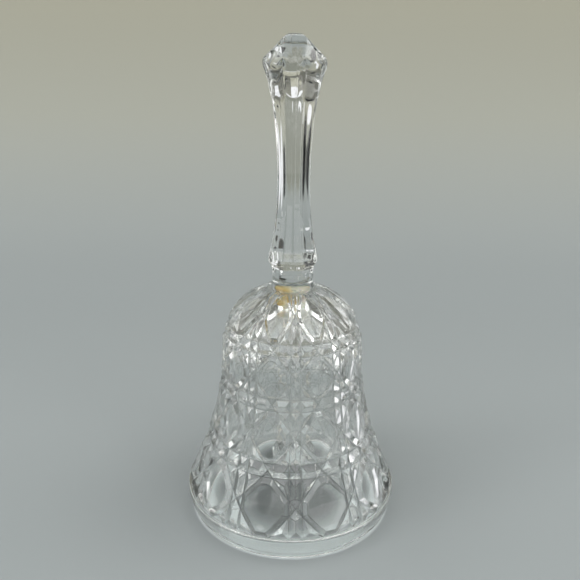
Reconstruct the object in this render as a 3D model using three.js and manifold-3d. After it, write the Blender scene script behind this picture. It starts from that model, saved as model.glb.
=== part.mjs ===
// A pressed-glass hand bell, standing on its rim: a flared cup with ten columns of octagonal buttons,
// an eight-sided handle, and a clapper that hangs on a chain from an eye glued into the crown.
// Millimetres, +Z up, origin at the centre of the rim, on the surface that the bell stands on.
import * as THREE from 'three';
import { mergeVertices } from 'three/addons/utils/BufferGeometryUtils.js';
import Module from 'manifold-3d';

const wasm = await Module();
wasm.setup();

// Driving dimensions.
const HEIGHT = 190;
const RIM_RADIUS = 42.1;
const BAND_RADIUS = 44.5;
const BAND_HEIGHT = 10;
const WAIST_RADIUS = 28.75;
const SHOULDER_HEIGHT = 68.5;
const CROWN_HEIGHT = 97;
const NECK_RADIUS = 8.1;
const STEM_RADIUS = 6.2;
const FOOT_RADIUS = 9.45;
const KNOB_RADIUS = 11.6;
const HANDLE_TURN = -2;
const KNOB_EDGE_HEIGHT = 180;
const TIP_FLAT_HALF_WIDTH = 4.1;
const WALL = 3.8;
const CAVITY_HEIGHT = 88;
const SOCKET_RADIUS = 4.5;
const SOCKET_TOP = 96;
const TOUCH_GAP = 0.3;

// Powers that shape the cup's outline: the bulge of the band, the flare and the squared shoulder.
const BAND_BULGE = 1.6;
const FLARE = 1.75;
const SQUARENESS = 0.847;

// The cut pattern.
const COLUMNS = 10;
const COLUMN_ANGLE = 360 / COLUMNS;
const FIRST_COLUMN_ANGLE = 3;
const BUTTON_HALF_ANGLE = 13.75;
const OCTAGON_SIDE = 0.28;
const GROOVE_DEPTH = 1.5;
const BUTTON_ROWS = [
  { bottom: BAND_HEIGHT, top: 30.7 },
  { bottom: 36, top: 55.5 },
  { bottom: 60.3, top: 77.4 },
  { bottom: 81.7, top: 96.2 },
];

// The chain and the clapper.
const WIRE = 0.9;
const LINK_COUNT = 8;
const LINK_LENGTH = 8.3;
const LINK_WIDTH = 5;
const EYE_RADIUS = 2.1;
const EYE_HEIGHT = 79.6;
const PLUG_RADIUS = 5.6;
const PLUG_BOTTOM = 84.2;
const SHANK_TOP = 91;
const BALL_RADIUS = 7;
const PIN_HEAD_RADIUS = 1.4;
const PIN_HEAD_THICKNESS = 0.6;

// Distance between the middles of two wires that hang in each other.
const WIRE_STEP = WIRE + TOUCH_GAP;
const LINK_PITCH = LINK_LENGTH - WIRE - WIRE_STEP;
const TOP_WIRE_HEIGHT = EYE_HEIGHT - EYE_RADIUS + WIRE_STEP;

const glass = new THREE.MeshStandardMaterial({ color: 0xe8eeea, roughness: 0.05, metalness: 0 });
const steel = new THREE.MeshStandardMaterial({ color: 0xb9bcbe, roughness: 0.3, metalness: 1 });
const adhesive = new THREE.MeshStandardMaterial({ color: 0xe6d9ae, roughness: 0.6, metalness: 0 });

const radians = THREE.MathUtils.degToRad;

// Outer radius of the cup: the rim band bulges to its top edge, the flare eases into the waist,
// and the shoulder rounds over as a slightly squared ellipse.
function outerRadius(z) {
  if (z <= BAND_HEIGHT) {
    const inset = 1 - z / BAND_HEIGHT;
    return BAND_RADIUS - (BAND_RADIUS - RIM_RADIUS) * inset ** BAND_BULGE;
  }
  if (z <= SHOULDER_HEIGHT) {
    const rise = (SHOULDER_HEIGHT - z) / (SHOULDER_HEIGHT - BAND_HEIGHT);
    return WAIST_RADIUS + (BAND_RADIUS - WAIST_RADIUS) * rise ** FLARE;
  }
  const up = (z - SHOULDER_HEIGHT) / (CROWN_HEIGHT - SHOULDER_HEIGHT);
  const sine = Math.min(1, up ** (1 / SQUARENESS));
  return WAIST_RADIUS * Math.sqrt(1 - sine * sine) ** SQUARENESS;
}

// Radius of the smooth inside of the cup, an ellipse above the shoulder.
function cavityRadius(z) {
  if (z <= SHOULDER_HEIGHT) {
    return outerRadius(z) - WALL;
  }
  const up = (z - SHOULDER_HEIGHT) / (CAVITY_HEIGHT - SHOULDER_HEIGHT);
  return (WAIST_RADIUS - WALL) * Math.sqrt(Math.max(0, 1 - up * up));
}

// Height of the inside of the crown at a distance from the axis.
function domeHeight(radius) {
  const share = radius / (WAIST_RADIUS - WALL);
  return SHOULDER_HEIGHT + (CAVITY_HEIGHT - SHOULDER_HEIGHT) * Math.sqrt(1 - share * share);
}

function toManifold(geometry) {
  const bare = geometry.clone();
  bare.deleteAttribute('normal');
  bare.deleteAttribute('uv');
  const merged = mergeVertices(bare, 1e-5);
  const vertProperties = new Float32Array(merged.attributes.position.array);
  const triVerts = new Uint32Array(merged.index.array);
  return new wasm.Manifold(new wasm.Mesh({ numProp: 3, vertProperties, triVerts }));
}

function toGeometry(solid) {
  const mesh = solid.getMesh();
  const geometry = new THREE.BufferGeometry();
  geometry.setAttribute('position', new THREE.BufferAttribute(mesh.vertProperties, 3));
  geometry.setIndex(new THREE.BufferAttribute(mesh.triVerts, 1));
  geometry.computeVertexNormals();
  return geometry;
}

// A closed solid through rings of points, stacked upwards, with a flat cap at each end.
// splitFalling(ring, side) tells which diagonal cuts the four-sided patch above that ring.
function ringSolid(rings, splitFalling = () => false) {
  const sides = rings[0].length;
  const points = rings.flat();
  const triangles = [];
  for (let ring = 0; ring + 1 < rings.length; ring += 1) {
    for (let side = 0; side < sides; side += 1) {
      const next = (side + 1) % sides;
      const lower = [ring * sides + side, ring * sides + next];
      const upper = [lower[0] + sides, lower[1] + sides];
      if (splitFalling(ring, side)) {
        triangles.push(lower[0], lower[1], upper[0], lower[1], upper[1], upper[0]);
      } else {
        triangles.push(lower[0], lower[1], upper[1], lower[0], upper[1], upper[0]);
      }
    }
  }
  const lastRing = (rings.length - 1) * sides;
  const bottomCentre = points.length;
  const topCentre = bottomCentre + 1;
  points.push(new THREE.Vector3(0, 0, rings[0][0].z));
  points.push(new THREE.Vector3(0, 0, rings[rings.length - 1][0].z));
  for (let side = 0; side < sides; side += 1) {
    const next = (side + 1) % sides;
    triangles.push(bottomCentre, next, side);
    triangles.push(topCentre, lastRing + side, lastRing + next);
  }
  const geometry = new THREE.BufferGeometry().setFromPoints(points);
  geometry.setIndex(triangles);
  return geometry;
}

function ringPoint(radius, degrees, z) {
  const angle = radians(degrees);
  return new THREE.Vector3(radius * Math.cos(angle), radius * Math.sin(angle), z);
}

// Angles round the cup: each button's two edges and two corner cuts, and the groove beside it.
function patternAngles() {
  const corner = BUTTON_HALF_ANGLE * OCTAGON_SIDE;
  const angles = [];
  for (let column = 0; column < COLUMNS; column += 1) {
    const middle = FIRST_COLUMN_ANGLE + column * COLUMN_ANGLE;
    angles.push({ at: middle - BUTTON_HALF_ANGLE, kind: 'edge' });
    angles.push({ at: middle - corner, kind: 'corner' });
    angles.push({ at: middle + corner, kind: 'corner' });
    angles.push({ at: middle + BUTTON_HALF_ANGLE, kind: 'edge' });
    angles.push({ at: middle + COLUMN_ANGLE / 2, kind: 'groove' });
  }
  return angles;
}

// Heights up the cup, with the same kinds as the angles, and plain for the uncut rim and crown.
function patternHeights() {
  const heights = [0, 0.3, 0.65, 0.95].map((share) => ({ at: share * BAND_HEIGHT, kind: 'plain' }));
  BUTTON_ROWS.forEach((row, index) => {
    const cut = ((row.top - row.bottom) * (1 - OCTAGON_SIDE)) / 2;
    heights.push({ at: row.bottom, kind: 'edge' });
    heights.push({ at: row.bottom + cut, kind: 'corner' });
    heights.push({ at: row.top - cut, kind: 'corner' });
    heights.push({ at: row.top, kind: 'edge' });
    if (index + 1 < BUTTON_ROWS.length) {
      heights.push({ at: (row.top + BUTTON_ROWS[index + 1].bottom) / 2, kind: 'groove' });
    }
  });
  heights.push({ at: CROWN_HEIGHT - 0.4, kind: 'plain' });
  return heights;
}

// Buttons stand at the full radius, and all that lies between them is cut down by the groove depth.
function isCut(angle, height) {
  if (height.kind === 'plain') {
    return false;
  }
  const onGroove = angle.kind === 'groove' || height.kind === 'groove';
  return onGroove || (angle.kind === 'edge' && height.kind === 'edge');
}

function cupSolid() {
  const angles = patternAngles();
  const heights = patternHeights();
  const rings = heights.map((height) => angles.map((angle) => {
    const depth = isCut(angle, height) ? GROOVE_DEPTH : 0;
    return ringPoint(outerRadius(height.at) - depth, angle.at, height.at);
  }));
  rings.push(angles.map((angle) => ringPoint(NECK_RADIUS - 1, angle.at, CROWN_HEIGHT + 0.5)));
  // The diagonal of a patch at a button's corner follows the octagon's slanting side.
  const splitFalling = (ring, side) => {
    const isCorner = (angle, height) => angle.kind === 'edge' && height?.kind === 'edge';
    const nextAngle = angles[(side + 1) % angles.length];
    return isCorner(angles[side], heights[ring]) || isCorner(nextAngle, heights[ring + 1]);
  };
  return toManifold(ringSolid(rings, splitFalling));
}

// The inside of the cup, with a round socket for the adhesive at the top of the crown.
function cavitySolid() {
  const belowRim = -2;
  const profile = [new THREE.Vector2(0, belowRim), new THREE.Vector2(cavityRadius(0), belowRim)];
  const wallSteps = 12;
  for (let step = 0; step <= wallSteps; step += 1) {
    const z = (step / wallSteps) * SHOULDER_HEIGHT;
    profile.push(new THREE.Vector2(cavityRadius(z), z));
  }
  const domeSteps = 8;
  for (let step = 1; step < domeSteps; step += 1) {
    const turn = (step / domeSteps) * Math.PI / 2;
    const z = SHOULDER_HEIGHT + (CAVITY_HEIGHT - SHOULDER_HEIGHT) * Math.sin(turn);
    profile.push(new THREE.Vector2(cavityRadius(z), z));
  }
  profile.push(new THREE.Vector2(SOCKET_RADIUS, domeHeight(SOCKET_RADIUS)));
  profile.push(new THREE.Vector2(SOCKET_RADIUS, SOCKET_TOP), new THREE.Vector2(0, SOCKET_TOP));
  return toManifold(uprightLathe(profile, 40));
}

// LatheGeometry turns about Y, so it is stood up on Z.
function uprightLathe(profile, segments) {
  return new THREE.LatheGeometry(profile, segments).rotateX(Math.PI / 2);
}

// The handle's outline, as the distance from the axis to its flats. It rises from inside the crown.
function handleOutline() {
  return [
    [CROWN_HEIGHT - 5, NECK_RADIUS],
    [101.5, NECK_RADIUS],
    [104.4, NECK_RADIUS],
    [106.4, FOOT_RADIUS - 0.6],
    [108.3, FOOT_RADIUS],
    [109.4, FOOT_RADIUS - 0.1],
    [113, 8.65],
    [117, 7.85],
    [121, 7.25],
    [127, 6.65],
    [137, STEM_RADIUS],
    [146, 6.35],
    [155, 6.85],
    [162, 7.55],
    [167.2, 8.3],
    [171, 9.2],
    [174.4, 10],
    [176.6, 10.75],
    [178.4, KNOB_RADIUS - 0.2],
    [KNOB_EDGE_HEIGHT, KNOB_RADIUS],
    [181.4, 11.15],
    [183.2, 9.65],
    [185.3, 7.4],
    [187.2, 5.5],
    [188.7, 4],
    [189.6, 2.7],
    [HEIGHT, 1.1],
  ];
}

// An eight-sided ring of points. Its flats are equal, until the four main ones hold their width
// towards the tip of the knob and the section turns square.
function handleRing(flat, z) {
  const widest = z < KNOB_EDGE_HEIGHT ? flat * Math.tan(Math.PI / 8) : 0.9 * flat;
  const half = Math.min(widest, TIP_FLAT_HALF_WIDTH);
  const ring = [];
  for (let quarter = 0; quarter < 4; quarter += 1) {
    const turn = HANDLE_TURN + quarter * 90;
    const lean = THREE.MathUtils.radToDeg(Math.atan2(half, flat));
    ring.push(ringPoint(Math.hypot(flat, half), turn - lean, z));
    ring.push(ringPoint(Math.hypot(flat, half), turn + lean, z));
  }
  return ring;
}

function handleSolid() {
  return toManifold(ringSolid(handleOutline().map(([z, flat]) => handleRing(flat, z))));
}

function glassBell() {
  const solid = cupSolid().add(handleSolid()).subtract(cavitySolid());
  return toGeometry(solid);
}

// The plug fills the socket and swells out below it, with a blind bore for the eye's shank.
function adhesivePlug() {
  const bore = WIRE / 2 + TOUCH_GAP;
  const swellTop = domeHeight(PLUG_RADIUS) - 2 * TOUCH_GAP;
  const boreTop = SHANK_TOP + TOUCH_GAP;
  const profile = [new THREE.Vector2(0, boreTop), new THREE.Vector2(bore, boreTop)];
  profile.push(new THREE.Vector2(bore, PLUG_BOTTOM));
  const swellSteps = 6;
  for (let step = 1; step <= swellSteps; step += 1) {
    const turn = (step / swellSteps) * Math.PI / 2;
    const radius = bore + (PLUG_RADIUS - bore) * Math.sin(turn);
    profile.push(new THREE.Vector2(radius, swellTop - (swellTop - PLUG_BOTTOM) * Math.cos(turn)));
  }
  const core = SOCKET_RADIUS - TOUCH_GAP;
  const coreTop = SOCKET_TOP - TOUCH_GAP;
  profile.push(new THREE.Vector2(core, domeHeight(core) - 2 * TOUCH_GAP));
  profile.push(new THREE.Vector2(core, coreTop), new THREE.Vector2(0, coreTop));
  return uprightLathe(profile, 24);
}

function straightWire(bottom, top) {
  const rod = new THREE.CylinderGeometry(WIRE / 2, WIRE / 2, top - bottom, 12);
  return rod.rotateX(Math.PI / 2).translate(0, 0, (top + bottom) / 2);
}

// A round eye of wire in the plane of X and Z, or turned a quarter about Z.
function eyeRing(height, turned) {
  const ring = new THREE.TorusGeometry(EYE_RADIUS, WIRE / 2, 8, 24).rotateX(Math.PI / 2);
  return toManifold(ring.rotateZ(turned ? Math.PI / 2 : 0).translate(0, 0, height));
}

function crownEye() {
  const shank = toManifold(straightWire(EYE_HEIGHT + EYE_RADIUS, SHANK_TOP));
  return toGeometry(eyeRing(EYE_HEIGHT, true).add(shank));
}

// An oval link with its length along Z, in the plane of X and Z, or turned a quarter about Z.
function chainLink(turned) {
  const bend = (LINK_WIDTH - WIRE) / 2;
  const straight = (LINK_LENGTH - WIRE) / 2 - bend;
  const bendSteps = 8;
  const section = 8;
  const centres = [];
  for (const end of [1, -1]) {
    for (let step = 0; step <= bendSteps; step += 1) {
      const angle = (step / bendSteps) * Math.PI;
      const x = end * bend * Math.cos(angle);
      const z = end * (straight + bend * Math.sin(angle));
      centres.push({ x, z, end, angle });
    }
  }
  const points = [];
  for (const { x, z, end, angle } of centres) {
    for (let side = 0; side < section; side += 1) {
      const around = (side / section) * 2 * Math.PI;
      const out = end * (WIRE / 2) * Math.cos(around);
      const across = (WIRE / 2) * Math.sin(around);
      points.push(new THREE.Vector3(x + out * Math.cos(angle), across, z + out * Math.sin(angle)));
    }
  }
  const triangles = [];
  for (let station = 0; station < centres.length; station += 1) {
    const here = station * section;
    const there = ((station + 1) % centres.length) * section;
    for (let side = 0; side < section; side += 1) {
      const next = (side + 1) % section;
      triangles.push(here + side, there + next, there + side);
      triangles.push(here + side, here + next, there + next);
    }
  }
  const geometry = new THREE.BufferGeometry().setFromPoints(points);
  geometry.setIndex(triangles);
  return turned ? geometry.rotateZ(Math.PI / 2) : geometry;
}

function linkHeight(index) {
  return TOP_WIRE_HEIGHT - (LINK_LENGTH - WIRE) / 2 - index * LINK_PITCH;
}

const lastLinkBottom = linkHeight(LINK_COUNT - 1) - (LINK_LENGTH - WIRE) / 2;
const pinEyeHeight = lastLinkBottom + WIRE_STEP - EYE_RADIUS;
const ballHeight = pinEyeHeight - EYE_RADIUS - WIRE / 2 - TOUCH_GAP - BALL_RADIUS;

// A ball cut with rings of flat facets, drilled through for the pin.
function clapperBall() {
  const facets = new THREE.SphereGeometry(BALL_RADIUS, 12, 8).rotateX(Math.PI / 2);
  const boreRadius = WIRE / 2 + TOUCH_GAP;
  const bore = new THREE.CylinderGeometry(boreRadius, boreRadius, 3 * BALL_RADIUS, 12);
  const solid = toManifold(facets).subtract(toManifold(bore.rotateX(Math.PI / 2)));
  return toGeometry(solid).translate(0, 0, ballHeight);
}

function clapperPin() {
  const headTop = ballHeight - BALL_RADIUS - TOUCH_GAP;
  const head = new THREE.CylinderGeometry(PIN_HEAD_RADIUS, PIN_HEAD_RADIUS, PIN_HEAD_THICKNESS, 12);
  head.rotateX(Math.PI / 2).translate(0, 0, headTop - PIN_HEAD_THICKNESS / 2);
  const shank = straightWire(headTop - PIN_HEAD_THICKNESS / 2, pinEyeHeight - EYE_RADIUS);
  const ring = eyeRing(pinEyeHeight, LINK_COUNT % 2 === 1);
  return toGeometry(ring.add(toManifold(shank)).add(toManifold(head)));
}

const bell = new THREE.Group();

function addPiece(name, geometry, material, parent = bell) {
  const mesh = new THREE.Mesh(geometry, material);
  mesh.name = name;
  parent.add(mesh);
  return mesh;
}

addPiece('glass_bell', glassBell(), glass);
addPiece('adhesive_plug', adhesivePlug(), adhesive);
addPiece('crown_eye', crownEye(), steel);
for (let index = 0; index < LINK_COUNT; index += 1) {
  const link = addPiece(`chain_link_${index + 1}`, chainLink(index % 2 === 1), steel);
  link.position.z = linkHeight(index);
}
addPiece('clapper_pin', clapperPin(), steel);
addPiece('clapper_ball', clapperBall(), glass);

export default bell;
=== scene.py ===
"""A pressed-glass hand bell on a pale ground: one piece of cut glass, with its clapper on a wire chain.

Shapes are worked out in millimetres in the frame of the CAD model and put into Blender in metres.
"""

import math

import bpy
import numpy as np
from mathutils import Matrix, Vector, geometry


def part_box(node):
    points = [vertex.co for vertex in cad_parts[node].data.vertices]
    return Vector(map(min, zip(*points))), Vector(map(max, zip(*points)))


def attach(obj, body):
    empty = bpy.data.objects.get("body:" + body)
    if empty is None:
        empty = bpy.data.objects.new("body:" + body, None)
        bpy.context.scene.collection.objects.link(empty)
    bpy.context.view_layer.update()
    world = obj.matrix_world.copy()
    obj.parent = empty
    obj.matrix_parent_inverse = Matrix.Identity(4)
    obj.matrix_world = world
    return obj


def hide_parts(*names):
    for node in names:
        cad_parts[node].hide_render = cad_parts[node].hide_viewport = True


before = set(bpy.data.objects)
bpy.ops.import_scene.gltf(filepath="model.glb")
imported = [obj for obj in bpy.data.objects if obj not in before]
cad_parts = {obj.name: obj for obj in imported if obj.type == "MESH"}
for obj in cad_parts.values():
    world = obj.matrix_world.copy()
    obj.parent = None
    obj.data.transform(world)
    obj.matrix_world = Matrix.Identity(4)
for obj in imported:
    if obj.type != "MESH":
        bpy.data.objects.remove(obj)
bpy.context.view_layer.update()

MM = 0.001

# Driving sizes in millimetres. The height and the widest radius come from the frame.
glass_low, glass_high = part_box("glass_bell")
HEIGHT = (glass_high[2] - glass_low[2]) / MM
BAND_RADIUS = min(glass_high[0], glass_high[1]) / MM
BAND_HEIGHT = 10.0
BAND_CURVE = 1.6
RIM_RADIUS = BAND_RADIUS - 2.4
RIM_ROUND = 0.5
WAIST_RADIUS = 28.75
FLARE_CURVE = 1.75
SHOULDER_HEIGHT = 68.5
CROWN_HEIGHT = 97.0
SQUARENESS = 0.847
NECK_RADIUS = 8.1
CROWN_END_RADIUS = NECK_RADIUS + 0.5
NECK_HEIGHT = 103.6
WALL = 3.8
CAVITY_HEIGHT = 88.0
SOCKET_RADIUS = 4.5
SOCKET_TOP = 96.0
STEM_RADIUS = 6.2
FOOT_RADIUS = 9.45
KNOB_RADIUS = 11.6
KNOB_EDGE_HEIGHT = 180.0
TIP_FLAT_HALF_WIDTH = 4.1
STEM_EDGE_SHARPNESS = 60
KNOB_EDGE_SHARPNESS = 20
KNOB_START, KNOB_FULL = 166, 176
TIP_FLAT_SHARE = 0.9
EIGHTH = math.tau / 8
FACET_STEPS = 5
FACET_CROWDING = 1.7
FACET_CROWN = 0.01
ARC_LIFT = 2.5
ARC_RISE = (164, 172)
ARC_FALL = (177, 184)
SEAM_ANGLE = math.radians(-87)
SEAM_HALF_WIDTH = 0.28
SEAM_HEIGHT = 0.1
SEAM_MAX_ANGLE = 0.1
SEAM_CLEARANCE = 0.14
HANDLE_TURN = math.radians(-2)

# The cut pattern: ten columns of octagonal buttons in four rows. x and y run from -1 to 1 across a cell.
# Straight grooves lie at GROOVE_X and GROOVE_Y, and slanting ones join the middles of the cell's sides.
COLUMNS = 10
FIRST_COLUMN_ANGLE = math.radians(3)
ROW_LIMITS = [(BAND_HEIGHT, 30.7), (36.0, 55.5), (60.3, 77.4), (81.7, None)]
GROOVE_X = 0.79
GROOVE_Y = 0.80
BEVEL = 0.15
SOFT_EDGE = 0.018
SOFT_STRIP = 1.2
EDGE_SAMPLES = 8
MIDDLE_WEIGHT = 2
CREASE_CLEARANCE = 3.5 * SOFT_EDGE
CREASE_REACH = SOFT_EDGE / 5
GRID_STEP = 0.11
SHORTEST_LINE = 0.01
GROOVE_DEPTH = 1.75
GROOVE_THINNING = 0.6
DISH_DEPTH = 0.85
DISH_REACH = 0.62

# The small parts. Chain heights come from the frame's own boxes.
WIRE_RADIUS = 0.45
WIRE_SIDES = 16
WIRE_END_ROUNDING = ((0.08, 0.93), (0.14, 0.72))
EYE_RADIUS = 2.1
EYE_OPENING = math.radians(64)
LEG_OFFSET = 0.5
LEG_INSET = 1.2
HOOK_START = -112
HOOK_SWEEP = 318
LINK_COUNT = 8
LINK_BEND = 2.05
LINK_STRAIGHT = 1.65
LINK_CUT = 0.09
PLUG_RADIUS = 5.6
PLUG_RUN = 2.2
PLUG_RUN_ANGLE = math.radians(200)
PLUG_CONTACT = 0.05
PLUG_FULLNESS = 2.6
PLUG_EDGE_POWER = 0.75
PLUG_CLIMB = 0.5
PLUG_CLIMB_REACH = 0.7
PLUG_RIPPLE = 0.10
BALL_RADIUS = 7.0
BALL_BORE = 0.62
BALL_EDGE_WEAR = 0.07
BALL_CLEARANCE = 0.02
# Belts of facets, each with its latitude in degrees, its count and its turn in facets.
BALL_BELTS = [(62, 6, 0.5), (35, 12, 0), (0, 12, 0.5), (-35, 12, 0), (-62, 6, 0.5)]
PIN_HEAD_RADIUS = 1.4

# How finely the shapes are divided.
MERIDIAN_STEPS = 400
MERIDIAN_POINTS = 1200
CUP_SIDES = 144
NECK_SIDES = 96
PLUG_SIDES = 96
BORE_SIDES = 24
CURVE_STEPS = 6
FLARE_RINGS = 46
DOME_RINGS = 26
EYE_STEPS = 8
HOOK_STEPS = 10
LINK_BEND_STEPS = 14
LINK_SIDE_STEPS = 4
MERGE_DISTANCE = 1e-4
SNAP_DISTANCE = 1e-3
KEY_DIGITS = 5


# ---------------- small helpers


def new_object(name, vertices, faces, body, material, smooth=True):
    """A mesh object from millimetre points, riding on a CAD body."""
    mesh = bpy.data.meshes.new(name)
    mesh.from_pydata([tuple(c * MM for c in v) for v in vertices], [], faces)
    mesh.polygons.foreach_set("use_smooth", [smooth] * len(mesh.polygons))
    mesh.materials.append(material)
    mesh.update()
    obj = bpy.data.objects.new(name, mesh)
    bpy.context.scene.collection.objects.link(obj)
    if body:
        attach(obj, body)
    return obj


class Surface:
    """Collects points and faces, and hands out the indices of new points."""

    def __init__(self):
        self.points = []
        self.faces = []

    def add(self, point):
        self.points.append(tuple(point))
        return len(self.points) - 1

    def add_ring(self, points):
        return [self.add(p) for p in points]

    def bridge(self, lower, upper):
        """Quads between two closed rings with the same number of points."""
        count = len(lower)
        for i in range(count):
            j = (i + 1) % count
            self.faces.append((lower[i], lower[j], upper[j], upper[i]))

    def zip_rings(self, lower, upper):
        """Triangles between two closed rings with different numbers of points, matched by angle."""

        def angles(ring):
            raw = [math.atan2(self.points[i][1], self.points[i][0]) % math.tau for i in ring]
            first = min(range(len(ring)), key=lambda k: raw[k])
            order = [(first + k) % len(ring) for k in range(len(ring))]
            return [ring[k] for k in order], [raw[k] for k in order]

        low, low_angles = angles(lower)
        high, high_angles = angles(upper)
        low_angles.append(low_angles[0] + math.tau)
        high_angles.append(high_angles[0] + math.tau)
        i = j = 0
        while i < len(low) or j < len(high):
            here_low, here_high = low[i % len(low)], high[j % len(high)]
            take_low = j >= len(high) or (i < len(low) and low_angles[i + 1] <= high_angles[j + 1])
            if take_low:
                self.faces.append((here_low, low[(i + 1) % len(low)], here_high))
                i += 1
            else:
                self.faces.append((here_low, high[(j + 1) % len(high)], here_high))
                j += 1

    def cap(self, ring, centre, upward):
        """A fan from a ring to a centre point."""
        middle = self.add(centre)
        count = len(ring)
        for i in range(count):
            j = (i + 1) % count
            self.faces.append((ring[i], ring[j], middle) if upward else (ring[j], ring[i], middle))


def polar(radius, angle, z):
    """A point from its distance to the axis, its angle and its height."""
    return (radius * math.cos(angle), radius * math.sin(angle), z)


def circle(radius, z, sides):
    """Points round the axis."""
    return [polar(radius, k * math.tau / sides, z) for k in range(sides)]


def share_between(start, stop, value):
    """How far a value has come from start to stop, from 0 to 1."""
    return min(1.0, max(0.0, (value - start) / (stop - start)))


def smooth_step(start, stop, value):
    share = share_between(start, stop, value)
    return share * share * (3 - 2 * share)


def catmull_rom(points):
    """A smooth line through points."""
    padded = [2 * np.array(points[0]) - np.array(points[1])] + [np.array(p) for p in points]
    padded.append(2 * padded[-1] - padded[-2])
    line = []
    for a, b, c, d in zip(padded, padded[1:], padded[2:], padded[3:]):
        for step in range(CURVE_STEPS):
            t = step / CURVE_STEPS
            square = (2 * a - 5 * b + 4 * c - d) * t**2
            cube = (3 * b - a - 3 * c + d) * t**3
            line.append(0.5 * (2 * b + (c - a) * t + square + cube))
    line.append(padded[-2])
    return line


# ---------------- the cup


def band_radius(z):
    """Radius of the plain band, which draws in towards the rim."""
    return BAND_RADIUS - (BAND_RADIUS - RIM_RADIUS) * (1 - z / BAND_HEIGHT) ** BAND_CURVE


def flare_radius(z):
    """Radius of the cup between the band and the shoulder, before it is cut."""
    rise = (SHOULDER_HEIGHT - z) / (SHOULDER_HEIGHT - BAND_HEIGHT)
    return WAIST_RADIUS + (BAND_RADIUS - WAIST_RADIUS) * rise**FLARE_CURVE


def outer_meridian():
    """The cup's outside from the top of the rim band to the neck.

    Returns even lengths along it, and the radius and height at each.
    """
    line = []
    for z in np.linspace(BAND_HEIGHT, SHOULDER_HEIGHT, MERIDIAN_STEPS, endpoint=False):
        line.append((flare_radius(z), z))
    neck_turn = math.acos((CROWN_END_RADIUS / WAIST_RADIUS) ** (1 / SQUARENESS))
    for turn in np.linspace(0, neck_turn, MERIDIAN_STEPS):
        radius = WAIST_RADIUS * math.cos(turn) ** SQUARENESS
        z = SHOULDER_HEIGHT + (CROWN_HEIGHT - SHOULDER_HEIGHT) * math.sin(turn) ** SQUARENESS
        line.append((radius, z))
    line = np.array(line)
    length = np.concatenate([[0], np.cumsum(np.hypot(*np.diff(line, axis=0).T))])
    even = np.linspace(0, length[-1], MERIDIAN_POINTS)
    radii = np.interp(even, length, line[:, 0])
    heights = np.interp(even, length, line[:, 1])
    return even, radii, heights


def cut(x, y):
    """Depth of the cut pattern at a place in a cell: 0 on a button's face, and -1 along a groove."""
    x, y = abs(x), abs(y)
    x, y = min(x, 2 - x), min(y, 2 - y)
    to_groove = min(abs(x - GROOVE_X), abs(y - GROOVE_Y), abs(x + y - 1) / math.sqrt(2))
    on_button = x < GROOVE_X and y < GROOVE_Y and x + y < 1
    reach = BEVEL if on_button else 1 - GROOVE_X
    return min(1.0, to_groove / reach) - 1


def soft_cut(x, y):
    """The cut pattern with its edges rounded."""
    total = MIDDLE_WEIGHT * cut(x, y)
    for k in range(EDGE_SAMPLES):
        turn = k * math.tau / EDGE_SAMPLES
        total += cut(x + SOFT_EDGE * math.cos(turn), y + SOFT_EDGE * math.sin(turn))
    dish = max(0.0, 1 - (x * x + y * y) / DISH_REACH**2)
    return total / (EDGE_SAMPLES + MIDDLE_WEIGHT) - DISH_DEPTH * dish


def crease_lines():
    """The creases in one quarter of a cell: grooves, bevel edges, hips and ridges, as pairs of ends."""
    gx, gy = GROOVE_X, GROOVE_Y
    root = math.sqrt(2)
    inner_x, inner_y = gx - BEVEL, gy - BEVEL
    inner_sum = 1 - BEVEL * root
    leg = gx + gy - 1
    inradius = leg * (1 - 1 / root)
    arm_x = 1 - gx
    arm_y = 1 - gy
    small_y = (1 / root + gy) / (1 + 1 / root)
    small_x = (1 / root + gx) / (1 + 1 / root)
    outer_side = (gx, 1 - gx)
    outer_top = (1 - gy, gy)
    corner = (gx, gy)
    lines = [
        ((gx, 0), (gx, 1)),
        ((0, gy), (1, gy)),
        ((0, 1), (1, 0)),
        ((inner_x, 0), (inner_x, inner_sum - inner_x)),
        ((0, inner_y), (inner_sum - inner_y, inner_y)),
        ((inner_x, inner_sum - inner_x), (inner_sum - inner_y, inner_y)),
        (outer_side, (inner_x, inner_sum - inner_x)),
        (outer_top, (inner_sum - inner_y, inner_y)),
        (corner, (1, gy - arm_x)),
        (outer_side, (1, arm_x * root)),
        (corner, (gx - arm_y, 1)),
        (outer_top, (arm_y * root, 1)),
        (corner, (gx + arm_y, 1)),
        ((1, arm_x * root), (1, 1)),
        ((arm_y * root, 1), (1, 1)),
        (corner, (gx - inradius, gy - inradius)),
        (outer_side, (gx - inradius, gy - inradius)),
        (outer_top, (gx - inradius, gy - inradius)),
        (outer_top, (0, small_y)),
        (outer_side, (small_x, 0)),
    ]
    return [(Vector(a), Vector(b)) for a, b in lines]


def distance_to_line(point, a, b):
    """Distance from a point to the line between two others."""
    share = geometry.intersect_point_line(point, a, b)[1]
    return (a.lerp(b, min(1.0, max(0.0, share))) - point).length


def near_crease(point, creases, reach):
    return any(distance_to_line(point, a, b) < reach for a, b in creases)


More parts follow.
